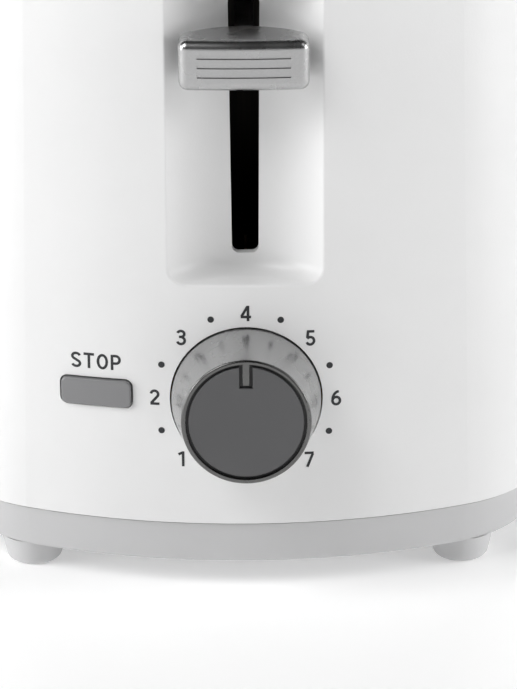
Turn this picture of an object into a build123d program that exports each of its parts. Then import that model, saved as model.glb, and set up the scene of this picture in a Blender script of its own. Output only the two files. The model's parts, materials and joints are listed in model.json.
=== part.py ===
"""Two-slot pop-up toaster with a plastic housing, modelled as its separate pieces.

The control end faces -Y, +X is to the right of someone facing it and +Z is up. The origin is on the
worktop, in the middle of the toaster's footprint with its knob and tray grip. All sizes are in mm.
Places are worked out in body coordinates, whose Y is counted from the middle of the housing.
"""

import math
import os

from build123d import *

# ---------------------------------------------------------------- driving dimensions
# housing
BODY_LENGTH = 285.0
BODY_WIDTH = 180.0
BODY_TOP = 190.0
END_RADIUS = BODY_LENGTH / 2 + 12.5  # the two ends, seen from above
SIDE_RADIUS = 900.0  # the two long sides, seen from above
CORNER_RADIUS = 38.0
TOP_RADIUS = 20.0
DRAFT = 2.6  # degrees that the walls lean in
WALL = 2.6

# base
FOOT_HEIGHT = 8.2
BASE_HEIGHT = 13.1
BASE_STEP = 0.8  # how far the base stands back under the housing
BASE_LEAN = 2.5  # how far the base's wall leans in on its way down
BASE_FLOOR = 2.5
BASE_WALL = 2.2
BASE_EDGE = 1.4
BASE_BOSS_RADIUS = 4.5
SHADOW_GAP_HEIGHT = 0.6  # the groove between base and housing
SHADOW_GAP_DEPTH = 1.0
LIP_HEIGHT = 3.0
LIP_ROOT = 4.0
LIP_WALL = 1.6
LIP_GAP = 0.3

# feet
FOOT_SPREAD = 60.8
FOOT_SETBACK = 11.0  # from the base's edge to a foot's centre
FOOT_TOP_RADIUS = 9.3
FOOT_BOTTOM_RADIUS = 7.5
FOOT_ROUND = 2.6
FOOT_PEG_RADIUS = 3.0
FOOT_PEG_HEIGHT = 4.0

# air slots in the base
AIR_SLOT_LENGTH = 28.0
AIR_SLOT_WIDTH = 4.0
AIR_SLOT_COLUMNS = 3
AIR_SLOT_ROWS = 9
AIR_SLOT_COLUMN_PITCH = 38.0
AIR_SLOT_ROW_PITCH = 14.0

# lever recess and its slot
RECESS_WIDTH = 44.4
RECESS_DEPTH = 12.8
RECESS_BOTTOM = 90.7
RECESS_TOP = 174.0
RECESS_FLOOR_ROUND = 4.5
RECESS_EDGE_ROUND = 0.8
LEVER_SLOT_BOTTOM = 95.5
LEVER_SLOT_TOP = 168.0
LEVER_SLOT_WIDTH_LOW = 7.3
LEVER_SLOT_WIDTH_HIGH = 8.6
LEVER_SLOT_CORNER = 2.0

# browning knob
KNOB_HEIGHT = 57.7
KNOB_BASE_RADIUS = 20.6
KNOB_FACE_RADIUS = 17.65
KNOB_REACH = 18.6
KNOB_SKIRT = 3.5
KNOB_WALL = 2.0
KNOB_GAP = 0.45
KNOB_EDGE = 0.6
CAP_POCKET_RADIUS = 16.6
CAP_GROOVE = 0.9  # between the cap and the knob's rim
CAP_POCKET_DEPTH = 1.6
CAP_THICKNESS = 1.0
BACKING_THICKNESS = 0.4  # of the black disc that the cap is stuck to
BACKING_GAP = 0.05
CAP_EDGE = 0.25
POINTER_WIDTH = 1.65
POINTER_INNER_RADIUS = 10.6
POINTER_GROOVE = 0.95  # beside the bar
POINTER_END_GROOVE = 0.95

# stop button
STOP_X = -41.4
STOP_RISE = 0.75  # above the knob's centre
STOP_WIDTH = 20.3
STOP_HEIGHT = 8.5
STOP_CORNER = 2.2
STOP_GAP = 0.4
STOP_PROUD = 1.2
STOP_TRAVEL = 2.5
STOP_FLANGE = 1.5
STOP_EDGE = 0.5
STOP_BACK = 1.0  # how far the cap reaches behind the wall
STOP_STEM_RADIUS = 2.0
STOP_STEM_ROOT = 8.5  # depths behind the panel
STOP_STEM_END = 13.0
STOP_SWITCH_TOP = 17.0
STOP_SWITCH_SIDE = 9.0
STOP_SWITCH_CORNER = 1.0
STOP_PLUNGER_RADIUS = 1.5
STOP_PLUNGER_ROOT = 1.0  # how deep the plunger sits in its switch

# bread slots and chamber
SLOT_PITCH = 54.0
SLOT_LENGTH = 142.0
SLOT_WIDTH = 31.0
CHAMBER_MID = 14.0
CHAMBER_END_ROOM = 5.0  # beyond the slots' ends
CHAMBER_SIDE_ROOM = 3.0  # beyond the reflectors
CHAMBER_TOP = 176.0
SHEET = 0.8
REFLECTOR_GAP = 7.0  # behind the outer mica boards
REFLECTOR_SHEET = 0.5
FRONT_SHELF = 30.0  # chassis floor ahead of the front end plate
REFLECTOR_BEADS = (60.0, 85.0, 110.0, 135.0)
REFLECTOR_BEAD_RADIUS = 0.75
REFLECTOR_BEAD_INSET = 12.0
REFLECTOR_TOP_GAP = 2.0
CHASSIS_RISE = 1.8  # from the base's top to the chassis floor
CHASSIS_LEDGE = 12.0  # each side of the hole over the crumb tray
CHASSIS_HOLE_INSET = 6.0
POST_SIDE_INSET = 3.5
POST_INSET = 8.0
POST_RADIUS = 4.0

# bezel round the two slots
BEZEL_MARGIN = 8.0  # beyond the slots' ends
BEZEL_SIDE_MARGIN = 7.5
BEZEL_THICKNESS = 1.0
BEZEL_SHEET = 1.0  # of the collars round the slots
BEZEL_GAP = 0.3
BEZEL_EDGE = 0.6
BEZEL_CORNER = 12.0
BEZEL_SEAT = 3.5
BEZEL_LIP = 6.0
SLOT_CORNER = 5.0

# heaters
MICA_OFFSET = 23.0  # from a slot's centre to the outer boards
MICA_THICKNESS = 0.8
MICA_BOTTOM = 46.0
MICA_TOP = 166.0
MICA_TAB = 12.0
MICA_TAB_INSET = 20.0
MICA_TAB_REACH = 1.5
RIBBON_WIDTH = 1.6
RIBBON_THICKNESS = 0.2
RIBBON_ROWS = 15
RIBBON_INSET = 8.0
RIBBON_END_INSET = 6.0

# bread guards
GUARD_OFFSET = 14.0  # from a slot's centre to a guard at rest
GUARD_AXLE_RADIUS = 1.2
GUARD_WIRE_RADIUS = 0.9
GUARD_BOTTOM = 47.0
GUARD_TOP = 160.0
GUARD_WIRES = 8
GUARD_END_GAP = 6.0
GUARD_AXLE_REACH = 3.5
BORE_GAP = 0.08  # radial, round every shaft and rod

# carriage, in its raised position
LIFT_TRAVEL = 55.0
RACK_TOP = 98.0
RACK_HEIGHT = 10.0
RACK_THICKNESS = 1.0
RACK_FINGERS = 7
RACK_FINGER_WIDTH = 16.0
RACK_FINGER_LENGTH = 3.0
RACK_FINGER_SHEET = 1.0
RACK_FINGER_INSET = 12.0
RACK_TAIL = 4.0  # behind the rear end plate
RACK_SLIT = 5.0
RACK_SLIT_MARGIN = 1.0
CROSSBAR_MARGIN = 8.0  # beyond each rack
CROSSBAR_HEIGHT = 18.0
CARRIAGE_SHEET = 1.2
CARRIAGE_GAP = 3.0
MAST_LEFT = -8.0
MAST_RISE = 4.5  # above the lever arm
LUG_REACH = 8.0
SPRING_LUG_WIDTH = 3.0
SWITCH_LUG_WIDTH = 7.0
SWITCH_LUG_THICKNESS = 1.5
LEVER_STOP_GAP = 0.5  # from the lowered arm to the slot's bottom
LEVER_ARM_WIDTH = 5.0
LEVER_ARM_HEIGHT = 7.0
LEVER_KNOB_WIDTH = 35.0
LEVER_KNOB_HEIGHT = 14.0
LEVER_KNOB_PROUD = 9.0
LEVER_KNOB_CLEARANCE = 4.6  # to the leaning recess when raised
LEVER_KNOB_ROUND = 2.5
LEVER_SOCKET = 9.0
GRIP_GROOVES = 3
GRIP_GROOVE_PITCH = 2.6
GRIP_GROOVE_WIDTH = 1.0
GRIP_GROOVE_DEPTH = 0.5

# guide rod, slider and spring
ROD_X = 18.0
ROD_RADIUS = 2.5
ROD_TOP = 179.0
SLIDER_BOTTOM = 104.0
SLIDER_TOP = 150.0
SLIDER_WIDTH = 14.0
SLIDER_DEPTH = 10.0
ROD_BRACKET_Z = 172.0
ROD_BRACKET_LEFT = -24.0
ROD_BRACKET_RIGHT = 28.0
ROD_BRACKET_REACH = 14.0
ROD_BRACKET_TAB_HEIGHT = 6.0
ROD_BRACKET_TAB_RIGHT = -10.0
SPRING_X = -16.0
SPRING_SETBACK = 6.0
SPRING_RADIUS = 3.2
SPRING_WIRE = 0.45
SPRING_PITCH = 2.6

# electromagnet
MAGNET_X = -22.0
MAGNET_SETBACK = 11.0
MAGNET_HEIGHT = 22.0
MAGNET_SIDE = 8.0  # from the pole's centre to the frame's edges
MAGNET_BACK = 11.0  # from the pole's centre to the frame's upright
MAGNET_FOOT_THICKNESS = 2.0
MAGNET_UPRIGHT_THICKNESS = 1.8
POLE_RADIUS = 4.5
COIL_RADIUS = 8.5
COIL_HEIGHT = 15.0
COIL_RISE = 3.0
COIL_FLANGE = 1.0
ARMATURE_SIZE = 16.0
ARMATURE_TONGUE = 4.0
ARMATURE_THICKNESS = 2.0
MAGNET_GAP = 0.3

# power switch
SWITCH_X = 30.0
SWITCH_TRAVEL = 2.5
SWITCH_CLEARANCE = 0.5
SWITCH_HALF_WIDTH = 8.0
SWITCH_SETBACK = 5.0
SWITCH_FRONT = 6.0
SWITCH_BACK = 4.0
SWITCH_PLUNGER_RADIUS = 2.0
SWITCH_FLOOR = 1.0
SWITCH_FLOOR_GAP = 0.2

# control board, on the knob's axis
BOARD_DEPTH = 24.0
BOARD_THICKNESS = 1.6
BOARD_LEFT = -52.0
BOARD_RIGHT = 28.0
BOARD_LOW = -25.0
BOARD_HIGH = 26.0
BOARD_CORNER = 2.0
CHIPS = ((14, 16, 16, 10, 9), (-20, 16, 12, 12, 6), (-22, -12, 18, 8, 4), (16, -18, 10, 6, 5))  # x, y, sizes
CHIP_CORNER = 1.0
CAPACITORS = ((-40, 14, 4.5, 11), (-6, 14, 3.5, 8))  # x, y, radius, height
BOARD_BRACKET_INSET = 3.0
BOARD_BRACKET_WIDTH = 6.0
BOARD_BRACKET_PAD = 10.0
BOARD_BRACKET_PAD_THICKNESS = 3.0
BOARD_BRACKET_GAP = 0.7
BOARD_BRACKET_LEG = 3.4
BOARD_BRACKET_LEG_RISE = 9.0
BOARD_BRACKET_FOOT = 12.8
BOARD_BRACKET_SHEET = 2.0
POT_RADIUS = 8.5
POT_HEIGHT = 6.5
POT_BUSH_RADIUS = 4.5
POT_BUSH_HEIGHT = 5.0
POT_TERMINALS = 3.0
POT_REAR_WALL = 2.0
SHAFT_RADIUS = 3.0
SHAFT_REACH = 12.0
SHAFT_END_GAP = 0.5
HUB_RADIUS = 5.5

# crumb tray
TRAY_HALF_WIDTH = 49.5
TRAY_HEIGHT = 8.0
TRAY_FRONT = -62.0
TRAY_SETBACK = 15.0
TRAY_SHEET = 0.6
TRAY_GAP = 0.5
TRAY_DOOR_GAP = 0.4
TRAY_DOOR_MARGIN = 1.2
GRIP_REACH = 6.0
GRIP_RISE = 2.0
GRIP_WIDTH = 40.0
GRIP_THICKNESS = 3.0
GRIP_EDGE = 0.8

# cord inlet
INLET_Z = 40.0
INLET_BORE = 3.75
INLET_NECK = 6.0
INLET_FLANGE = 9.0
INLET_FLANGE_THICKNESS = 2.0
INLET_GAP = 0.3
INLET_CLIP = 8.0  # radius of the clip behind the wall

# terminal block
TERMINAL_LEFT = -60.0
TERMINAL_WIDTH = 8.0
TERMINAL_LENGTH = 18.0
TERMINAL_HEIGHT = 20.0
TERMINAL_GAP = 2.5
TERMINALS = 3
TERMINAL_PITCH = 5.0
TERMINAL_BORE = 1.6
TERMINAL_BORE_Z = 15.0
TERMINAL_END = 4.0

# fasteners
SCREW_RADIUS = 1.5
SCREW_HEAD_RADIUS = 3.0
SCREW_HEAD_HEIGHT = 1.8
SCREW_GAP = 0.2
SCREW_SINK = 1.0  # how far the base screws' heads sit up inside the base
BASE_SCREW_REACH = 12.0  # above the base's top
CHASSIS_SCREW_ROOT = 4.0  # above the base's floor
CHASSIS_BORE_ROOT = 2.0
BOSS_INSET = 14.0  # from the housing's widest line
BOSS_Y = 60.0
BOSS_RADIUS = 5.5
BOSS_TOP = 50.0
RIB_THICKNESS = 2.4
DRIVE_WIDTH = 0.9
DRIVE_DEPTH = 1.0

# cuts
OVER = 1.0  # how far a cut runs past a face
THROUGH = 6 * WALL  # half the length of a cut through the curved wall

# ---------------------------------------------------------------- sizes that follow
SLOPE = math.tan(math.radians(DRAFT))
LEAN = (0, math.sin(math.radians(DRAFT)), math.cos(math.radians(DRAFT)))
BASE_TOP = FOOT_HEIGHT + BASE_HEIGHT
BASE_FLOOR_TOP = FOOT_HEIGHT + BASE_FLOOR
KNOB_LOW_REACH = KNOB_REACH * LEAN[2] + (KNOB_FACE_RADIUS - KNOB_EDGE) * LEAN[1]
FRONT_REACH = BODY_LENGTH / 2 - (KNOB_HEIGHT - BASE_TOP) * SLOPE + KNOB_LOW_REACH
REAR_REACH = BODY_LENGTH / 2 + GRIP_REACH
MID_Y = (FRONT_REACH - REAR_REACH) / 2
FOOT_ARC = END_RADIUS - BASE_STEP - BASE_LEAN
FOOT_EDGE_Y = math.sqrt(FOOT_ARC**2 - FOOT_SPREAD**2) - (END_RADIUS - BODY_LENGTH / 2)
FOOT_Y = FOOT_EDGE_Y - FOOT_SETBACK
CHASSIS_Z = BASE_TOP + CHASSIS_RISE
CHASSIS_TOP = CHASSIS_Z + SHEET
CHAMBER_LENGTH = SLOT_LENGTH + 2 * CHAMBER_END_ROOM
MICA_X = SLOT_PITCH / 2 + MICA_OFFSET
REFLECTOR_X = MICA_X + REFLECTOR_GAP
CHAMBER_WIDTH = 2 * (REFLECTOR_X + CHAMBER_SIDE_ROOM)
CHASSIS_HOLE_WIDTH = CHAMBER_WIDTH - 2 * CHASSIS_LEDGE
POST_X = CHAMBER_WIDTH / 2 - POST_SIDE_INSET
BEZEL_LENGTH = SLOT_LENGTH + 2 * BEZEL_MARGIN
BEZEL_WIDTH = SLOT_PITCH + SLOT_WIDTH + 2 * BEZEL_SIDE_MARGIN
BOSS_X = BODY_WIDTH / 2 - BOSS_INSET
LEVER_Z = LEVER_SLOT_BOTTOM + LEVER_STOP_GAP + LEVER_ARM_HEIGHT / 2 + LIFT_TRAVEL
MAST_TOP = LEVER_Z + LEVER_ARM_HEIGHT / 2 + MAST_RISE
CROSSBAR_WIDTH = SLOT_PITCH + 2 * CROSSBAR_MARGIN
CROSSBAR_BOTTOM = RACK_TOP - RACK_HEIGHT
CROSSBAR_TOP = CROSSBAR_BOTTOM + CROSSBAR_HEIGHT
FRONT_PLATE = CHAMBER_MID - CHAMBER_LENGTH / 2
REAR_PLATE = CHAMBER_MID + CHAMBER_LENGTH / 2
SLOT_XS = (-SLOT_PITCH / 2, SLOT_PITCH / 2)
CARRIAGE_BACK = FRONT_PLATE - SHEET - CARRIAGE_GAP
CARRIAGE_FRONT = CARRIAGE_BACK - CARRIAGE_SHEET
ROD_Y = CARRIAGE_FRONT - SLIDER_DEPTH / 2
RECESS_ROUND = (RECESS_WIDTH**2 / 4 + RECESS_DEPTH**2) / (2 * RECESS_DEPTH)
TRAY_BOTTOM = BASE_FLOOR_TOP + TRAY_GAP
TRAY_TOP = TRAY_BOTTOM + TRAY_HEIGHT
TRAY_REAR = BODY_LENGTH / 2 - TRAY_SETBACK
DOOR_HALF_WIDTH = TRAY_HALF_WIDTH + TRAY_DOOR_MARGIN
CENTRE_MIN = (Align.CENTER, Align.CENTER, Align.MIN)
MIDDLE_LOW = (Align.CENTER, Align.MIN)


# ---------------------------------------------------------------- planes and common shapes
def level(z):
    """The horizontal plane at height z, centred on the body."""
    return Plane((0, MID_Y, z))


def facing_front(y):
    """The upright plane at body Y, facing the control end: its X is +X and its Y is +Z."""
    return Plane((0, MID_Y + y, 0), x_dir=(1, 0, 0), z_dir=(0, -1, 0))


def front_y(z):
    """Body Y of the middle of the front wall at height z."""
    return -BODY_LENGTH / 2 + (z - BASE_TOP) * SLOPE


def panel(depth=0.0):
    """The plane of the control panel at the knob, facing outwards, that far behind the wall's face."""
    centre = (0, MID_Y + front_y(KNOB_HEIGHT), KNOB_HEIGHT)
    return Plane(centre, x_dir=(1, 0, 0), z_dir=(0, -LEAN[2], LEAN[1])).offset(-depth)


def outline(z, inset=0.0):
    """The housing's outline at height z, as a face, set in by a wall or a gap."""
    setback = inset + max(0.0, z - BASE_TOP) * SLOPE
    end_centre = END_RADIUS - BODY_LENGTH / 2
    side_centre = SIDE_RADIUS - BODY_WIDTH / 2
    with BuildSketch(level(z)) as face:
        with Locations((0, end_centre)):
            Circle(END_RADIUS - setback)
        with Locations((0, -end_centre)):
            Circle(END_RADIUS - setback, mode=Mode.INTERSECT)
        for x in (side_centre, -side_centre):
            with Locations((x, 0)):
                Circle(SIDE_RADIUS - setback, mode=Mode.INTERSECT)
        fillet(face.vertices(), CORNER_RADIUS - setback)
    return face.sketch


def housing_block(inset=0.0):
    """The housing as one solid lump with its rounded top edge, set in everywhere by a wall."""
    with BuildPart() as lump:
        add(outline(BASE_TOP, inset))
        add(outline(BODY_TOP - inset, inset))
        loft(ruled=True)
        fillet(lump.faces().sort_by(Axis.Z)[-1].edges(), TOP_RADIUS - inset)
    return lump.part


def base_block(inset=0.0, bottom=FOOT_HEIGHT, edge=BASE_EDGE):
    """The base as one solid lump, narrower at the bottom, set in by a wall."""
    with BuildPart() as lump:
        add(outline(bottom, inset + BASE_STEP + BASE_LEAN * (BASE_TOP - bottom) / BASE_HEIGHT))
        add(outline(BASE_TOP, inset + BASE_STEP))
        loft(ruled=True)
        fillet(lump.faces().sort_by(Axis.Z)[0].edges(), edge)
    return lump.part


def shadow_gap():
    """The ring cut away from the top of the base's wall, under the housing."""
    with BuildPart() as ring:
        extrude(outline(BASE_TOP - SHADOW_GAP_HEIGHT), SHADOW_GAP_HEIGHT)
        core = outline(BASE_TOP - SHADOW_GAP_HEIGHT, BASE_STEP + SHADOW_GAP_DEPTH)
        extrude(core, SHADOW_GAP_HEIGHT, mode=Mode.SUBTRACT)
    return ring.part


def recess_block(grow=0.0):
    """The round trough of the lever recess, which leans with the front wall."""
    bottom = RECESS_BOTTOM - grow
    with BuildPart() as trough:
        with BuildSketch(Plane((0, MID_Y + front_y(bottom), bottom), x_dir=(1, 0, 0), z_dir=LEAN)):
            with Locations((0, RECESS_DEPTH - RECESS_ROUND)):
                Circle(RECESS_ROUND + grow)
        extrude(amount=RECESS_TOP - RECESS_BOTTOM + 2 * grow)
        fillet(trough.edges().filter_by(GeomType.CIRCLE), RECESS_FLOOR_ROUND + grow)
    return trough.part


def block(low, high, mode=Mode.ADD):
    """A box between two corners in body coordinates."""
    size = [b - a for a, b in zip(low, high)]
    middle = [(a + b) / 2 for a, b in zip(low, high)]
    with Locations((middle[0], middle[1] + MID_Y, middle[2])):
        return Box(*size, mode=mode)


def rod(start, end, radius, mode=Mode.ADD):
    """A round bar between two points in body coordinates."""
    a = Vector(start[0], start[1] + MID_Y, start[2])
    b = Vector(end[0], end[1] + MID_Y, end[2])
    with Locations(Plane(origin=a, z_dir=b - a)):
        return Cylinder(radius, (b - a).length, align=CENTRE_MIN, mode=mode)


def save(piece, label):
    """Labels a finished piece and writes it to its own file."""
    piece.part.label = label
    export_step(piece.part, f"parts/{label}.step")


os.makedirs("parts", exist_ok=True)

# ---------------------------------------------------------------- outer shell
BOSSES = [(x, y) for x in (-BOSS_X, BOSS_X) for y in (-BOSS_Y, BOSS_Y)]
BEZEL_HOLE_WIDTH = BEZEL_WIDTH - 2 * BEZEL_SEAT
BEZEL_HOLE_LENGTH = BEZEL_LENGTH - 2 * BEZEL_SEAT
SEAT_Z = BODY_TOP - BEZEL_THICKNESS
RIB_BOTTOM = BASE_TOP + LIP_HEIGHT + LIP_GAP
SIDE_AT_BOSS = math.sqrt(SIDE_RADIUS**2 - BOSS_Y**2) - (SIDE_RADIUS - BODY_WIDTH / 2)
RIB_END = SIDE_AT_BOSS - WALL / 2 - (BOSS_TOP - BASE_TOP) * SLOPE

with BuildPart() as cavity:
    add(housing_block(WALL))
    add(recess_block(WALL), mode=Mode.SUBTRACT)

with BuildPart() as outer_shell:
    add(housing_block())
    add(recess_block(), mode=Mode.SUBTRACT)
    fillet(outer_shell.edges(Select.NEW), RECESS_EDGE_ROUND)
    add(cavity.part, mode=Mode.SUBTRACT)
    for x, y in BOSSES:
        rod((x, y, BASE_TOP), (x, y, BOSS_TOP), BOSS_RADIUS)
        wall_x = math.copysign(RIB_END, x)
        near, far = min(x, wall_x), max(x, wall_x)
        block((near, y - RIB_THICKNESS / 2, RIB_BOTTOM), (far, y + RIB_THICKNESS / 2, BOSS_TOP))
        rod((x, y, BASE_TOP), (x, y, BOSS_TOP - WALL), SCREW_RADIUS, Mode.SUBTRACT)
    # seat and opening for the bezel
    with BuildSketch(level(SEAT_Z)):
        with Locations((0, CHAMBER_MID)):
            RectangleRounded(BEZEL_WIDTH, BEZEL_LENGTH, BEZEL_CORNER)
    extrude(amount=BEZEL_THICKNESS, mode=Mode.SUBTRACT)
    with BuildSketch(level(BODY_TOP)):
        with Locations((0, CHAMBER_MID)):
            RectangleRounded(BEZEL_HOLE_WIDTH, BEZEL_HOLE_LENGTH, BEZEL_CORNER - BEZEL_SEAT)
    extrude(amount=-2 * WALL, mode=Mode.SUBTRACT)
    # lever slot
    with BuildSketch(facing_front(front_y(LEVER_SLOT_BOTTOM))) as lever_slot:
        Polygon(
            (-LEVER_SLOT_WIDTH_LOW / 2, LEVER_SLOT_BOTTOM),
            (LEVER_SLOT_WIDTH_LOW / 2, LEVER_SLOT_BOTTOM),
            (LEVER_SLOT_WIDTH_HIGH / 2, LEVER_SLOT_TOP),
            (-LEVER_SLOT_WIDTH_HIGH / 2, LEVER_SLOT_TOP),
            align=None,
        )
        fillet(lever_slot.vertices(), LEVER_SLOT_CORNER)
    extrude(amount=-(RECESS_DEPTH + 4 * WALL), mode=Mode.SUBTRACT)
    # knob hole and button opening
    with BuildSketch(panel(THROUGH)):
        Circle(KNOB_BASE_RADIUS + KNOB_GAP)
        with Locations((STOP_X, STOP_RISE)):
            RectangleRounded(STOP_WIDTH, STOP_HEIGHT, STOP_CORNER)
    extrude(amount=2 * THROUGH, mode=Mode.SUBTRACT)
    # cord inlet
    inlet_y = -front_y(INLET_Z)
    inlet_way = Vector(0, LEAN[2], LEAN[1])
    inlet = Plane((0, MID_Y + inlet_y, INLET_Z), x_dir=(-1, 0, 0), z_dir=inlet_way)
    with BuildSketch(inlet.offset(-2 * WALL)):
        Circle(INLET_NECK + INLET_GAP)
    extrude(amount=4 * WALL, mode=Mode.SUBTRACT)
save(outer_shell, "outer_shell")

# ---------------------------------------------------------------- slot bezel
with BuildPart() as slot_bezel:
    with BuildSketch(level(SEAT_Z)):
        with Locations((0, CHAMBER_MID)):
            plate_size = (BEZEL_WIDTH - 2 * BEZEL_GAP, BEZEL_LENGTH - 2 * BEZEL_GAP)
            RectangleRounded(*plate_size, BEZEL_CORNER - BEZEL_GAP)
    extrude(amount=BEZEL_THICKNESS)
    with BuildSketch(level(SEAT_Z)):
        with Locations(*[(x, CHAMBER_MID) for x in SLOT_XS]):
            RectangleRounded(SLOT_WIDTH + 2 * BEZEL_SHEET, SLOT_LENGTH + 2 * BEZEL_SHEET, SLOT_CORNER)
    extrude(amount=-BEZEL_LIP)
    with BuildSketch(level(BODY_TOP)):
        with Locations(*[(x, CHAMBER_MID) for x in SLOT_XS]):
            RectangleRounded(SLOT_WIDTH, SLOT_LENGTH, SLOT_CORNER - BEZEL_SHEET)
    extrude(amount=-2 * BEZEL_LIP, mode=Mode.SUBTRACT)
    fillet(slot_bezel.faces().sort_by(Axis.Z)[-1].inner_wires().edges(), BEZEL_EDGE)
save(slot_bezel, "slot_bezel")

# ---------------------------------------------------------------- base pan and feet
FEET = {
    "foot_front_left": (-FOOT_SPREAD, -FOOT_Y),
    "foot_front_right": (FOOT_SPREAD, -FOOT_Y),
    "foot_rear_left": (-FOOT_SPREAD, FOOT_Y),
    "foot_rear_right": (FOOT_SPREAD, FOOT_Y),
}
POST_YS = (FRONT_PLATE + POST_INSET, REAR_PLATE - POST_INSET)
CHASSIS_POSTS = [(x, y) for x in (-POST_X, POST_X) for y in POST_YS]
HEAD_POCKET = SCREW_SINK + SCREW_HEAD_HEIGHT

with BuildPart() as base_pan:
    add(base_block())
    add(shadow_gap(), mode=Mode.SUBTRACT)
    add(base_block(BASE_WALL, BASE_FLOOR_TOP, BASE_EDGE / 2), mode=Mode.SUBTRACT)
    # locating lip inside the housing
    extrude(outline(BASE_TOP - LIP_ROOT, WALL + LIP_GAP), LIP_ROOT + LIP_HEIGHT)
    lip_core = outline(BASE_TOP - LIP_ROOT, WALL + LIP_GAP + LIP_WALL)
    extrude(lip_core, LIP_ROOT + LIP_HEIGHT, mode=Mode.SUBTRACT)
    for x, y in BOSSES:
        rod((x, y, BASE_TOP), (x, y, BASE_TOP + 2 * LIP_HEIGHT), BOSS_RADIUS + LIP_GAP, Mode.SUBTRACT)
        rod((x, y, FOOT_HEIGHT), (x, y, BASE_TOP), BASE_BOSS_RADIUS)
        low = (x, y, FOOT_HEIGHT - OVER)
        rod(low, (x, y, BASE_TOP + OVER), SCREW_RADIUS + SCREW_GAP, Mode.SUBTRACT)
        rod(low, (x, y, FOOT_HEIGHT + HEAD_POCKET), SCREW_HEAD_RADIUS + SCREW_GAP, Mode.SUBTRACT)
    for x, y in CHASSIS_POSTS:
        rod((x, y, BASE_FLOOR_TOP - BASE_FLOOR / 2), (x, y, CHASSIS_Z), POST_RADIUS)
        bore_low = (x, y, BASE_FLOOR_TOP + CHASSIS_BORE_ROOT)
        rod(bore_low, (x, y, CHASSIS_Z + OVER), SCREW_RADIUS, Mode.SUBTRACT)
    # doorway of the crumb tray
    block(
        (-DOOR_HALF_WIDTH, BODY_LENGTH / 4, BASE_FLOOR_TOP),
        (DOOR_HALF_WIDTH, BODY_LENGTH / 2 + OVER, BASE_TOP + 2 * LIP_HEIGHT),
        Mode.SUBTRACT,
    )
    # foot sockets and air slots
    for x, y in FEET.values():
        low = (x, y, FOOT_HEIGHT - OVER)
        rod(low, (x, y, BASE_TOP - BASE_WALL), FOOT_PEG_RADIUS + BORE_GAP, Mode.SUBTRACT)
    with BuildSketch(level(FOOT_HEIGHT)):
        with Locations((0, CHAMBER_MID)):
            with GridLocations(AIR_SLOT_COLUMN_PITCH, AIR_SLOT_ROW_PITCH, AIR_SLOT_COLUMNS, AIR_SLOT_ROWS):
                SlotOverall(AIR_SLOT_LENGTH, AIR_SLOT_WIDTH)
    extrude(amount=BASE_FLOOR, mode=Mode.SUBTRACT)
save(base_pan, "base_pan")

for name, (x, y) in FEET.items():
    with BuildPart() as foot:
        with BuildSketch(Plane((x, MID_Y + y, 0), x_dir=(1, 0, 0), z_dir=(0, -1, 0))):
            with BuildLine():
                Polyline(
                    (0, 0),
                    (FOOT_BOTTOM_RADIUS, 0),
                    (FOOT_TOP_RADIUS, FOOT_HEIGHT),
                    (FOOT_PEG_RADIUS, FOOT_HEIGHT),
                    (FOOT_PEG_RADIUS, FOOT_HEIGHT + FOOT_PEG_HEIGHT),
                    (0, FOOT_HEIGHT + FOOT_PEG_HEIGHT),
                    close=True,
                )
            make_face()
        revolve(axis=Axis((x, MID_Y + y, 0), (0, 0, 1)))
        fillet(foot.edges().filter_by(GeomType.CIRCLE).group_by(Axis.Z)[0], FOOT_ROUND)
    save(foot, name)

# ---------------------------------------------------------------- browning knob, on the panel plane
with BuildPart() as browning_knob:
    with BuildSketch(panel()):
        Circle(KNOB_BASE_RADIUS)
    extrude(amount=-KNOB_SKIRT)
    with BuildSketch(panel()):
        Circle(KNOB_BASE_RADIUS)
    with BuildSketch(panel(-KNOB_REACH)):
        Circle(KNOB_FACE_RADIUS)
    loft()
    front_face = browning_knob.faces().sort_by(Axis((0, 0, 0), (0, -LEAN[2], LEAN[1])))[-1]
    fillet(front_face.edges(), KNOB_EDGE)
    # cap pocket with the pointer bar left standing
    with BuildSketch(panel(-KNOB_REACH)):
        Circle(CAP_POCKET_RADIUS)
        with Locations((0, POINTER_INNER_RADIUS)):
            Rectangle(POINTER_WIDTH, CAP_POCKET_RADIUS, align=MIDDLE_LOW, mode=Mode.SUBTRACT)
    extrude(amount=-CAP_POCKET_DEPTH, mode=Mode.SUBTRACT)
    # hollow back with the shaft hub
    with BuildSketch(panel(KNOB_SKIRT)):
        Circle(KNOB_BASE_RADIUS - KNOB_WALL)
        Circle(HUB_RADIUS, mode=Mode.SUBTRACT)
    with BuildSketch(panel(2 * KNOB_WALL + CAP_POCKET_DEPTH - KNOB_REACH)):
        Circle(KNOB_FACE_RADIUS - KNOB_WALL)
        Circle(HUB_RADIUS, mode=Mode.SUBTRACT)
    loft(mode=Mode.SUBTRACT)
    with BuildSketch(panel(KNOB_SKIRT)):
        Circle(SHAFT_RADIUS)
    extrude(amount=KNOB_SKIRT + SHAFT_REACH, mode=Mode.SUBTRACT)
save(browning_knob, "browning_knob")

with BuildPart() as cap_backing:
    with BuildSketch(panel(CAP_POCKET_DEPTH - KNOB_REACH)):
        Circle(CAP_POCKET_RADIUS - BACKING_GAP)
        with Locations((0, POINTER_INNER_RADIUS - BACKING_GAP)):
            hole_width = POINTER_WIDTH + 2 * BACKING_GAP
            Rectangle(hole_width, CAP_POCKET_RADIUS, align=MIDDLE_LOW, mode=Mode.SUBTRACT)
    extrude(amount=BACKING_THICKNESS)
save(cap_backing, "cap_backing")

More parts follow.
